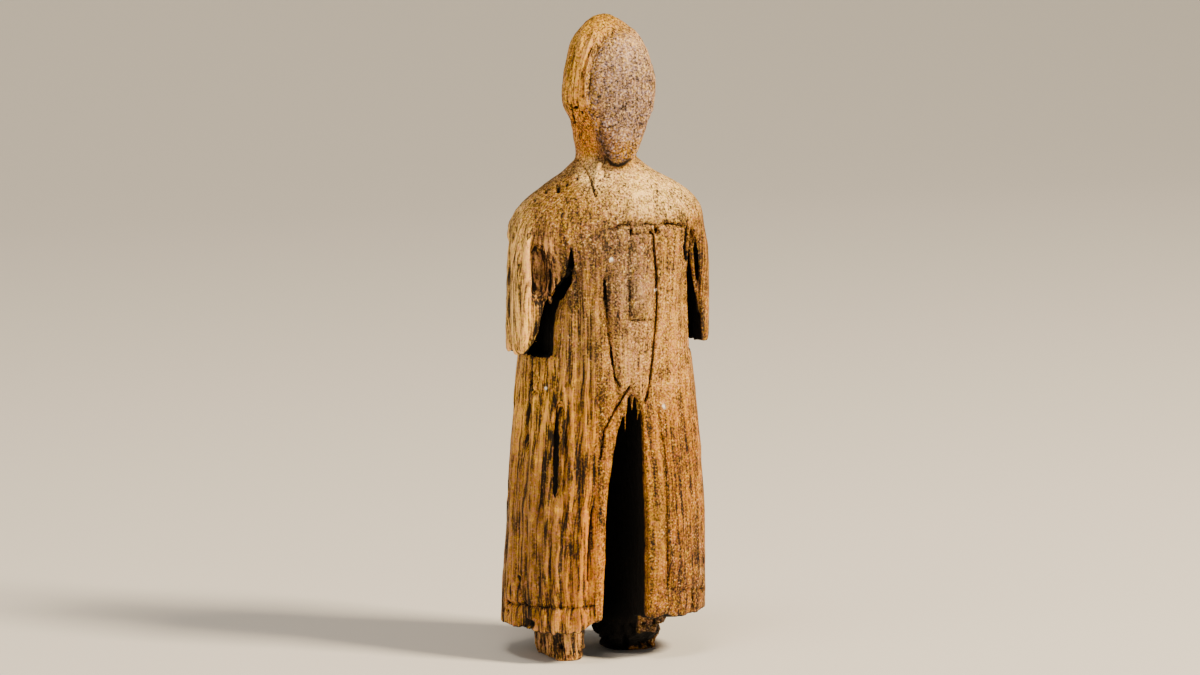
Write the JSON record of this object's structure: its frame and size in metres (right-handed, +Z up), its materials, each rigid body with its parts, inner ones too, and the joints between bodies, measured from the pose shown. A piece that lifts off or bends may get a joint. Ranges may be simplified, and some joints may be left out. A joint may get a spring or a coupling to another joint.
{
  "type": "carved wooden figurine",
  "caption": "Standing figure in a long hooded coat, carved from weathered driftwood, with a blank oval face, short flat arms and a coat slit up the front; it stands on its broken feet",
  "frame": {"origin": "the middle of the bounding box, at the level of the two soles", "axes": "+Z up along the figure, the front faces -Y, +X to the right of someone who looks at the front"},
  "size_m": [0.0174, 0.0138, 0.0538],
  "materials": {
    "driftwood": "weathered and worn, honey brown to grey brown, paler on the high places and dark in the cracks"
  },
  "bodies": {
    "root": {"figurine": "driftwood"}
  },
  "joints": []
}
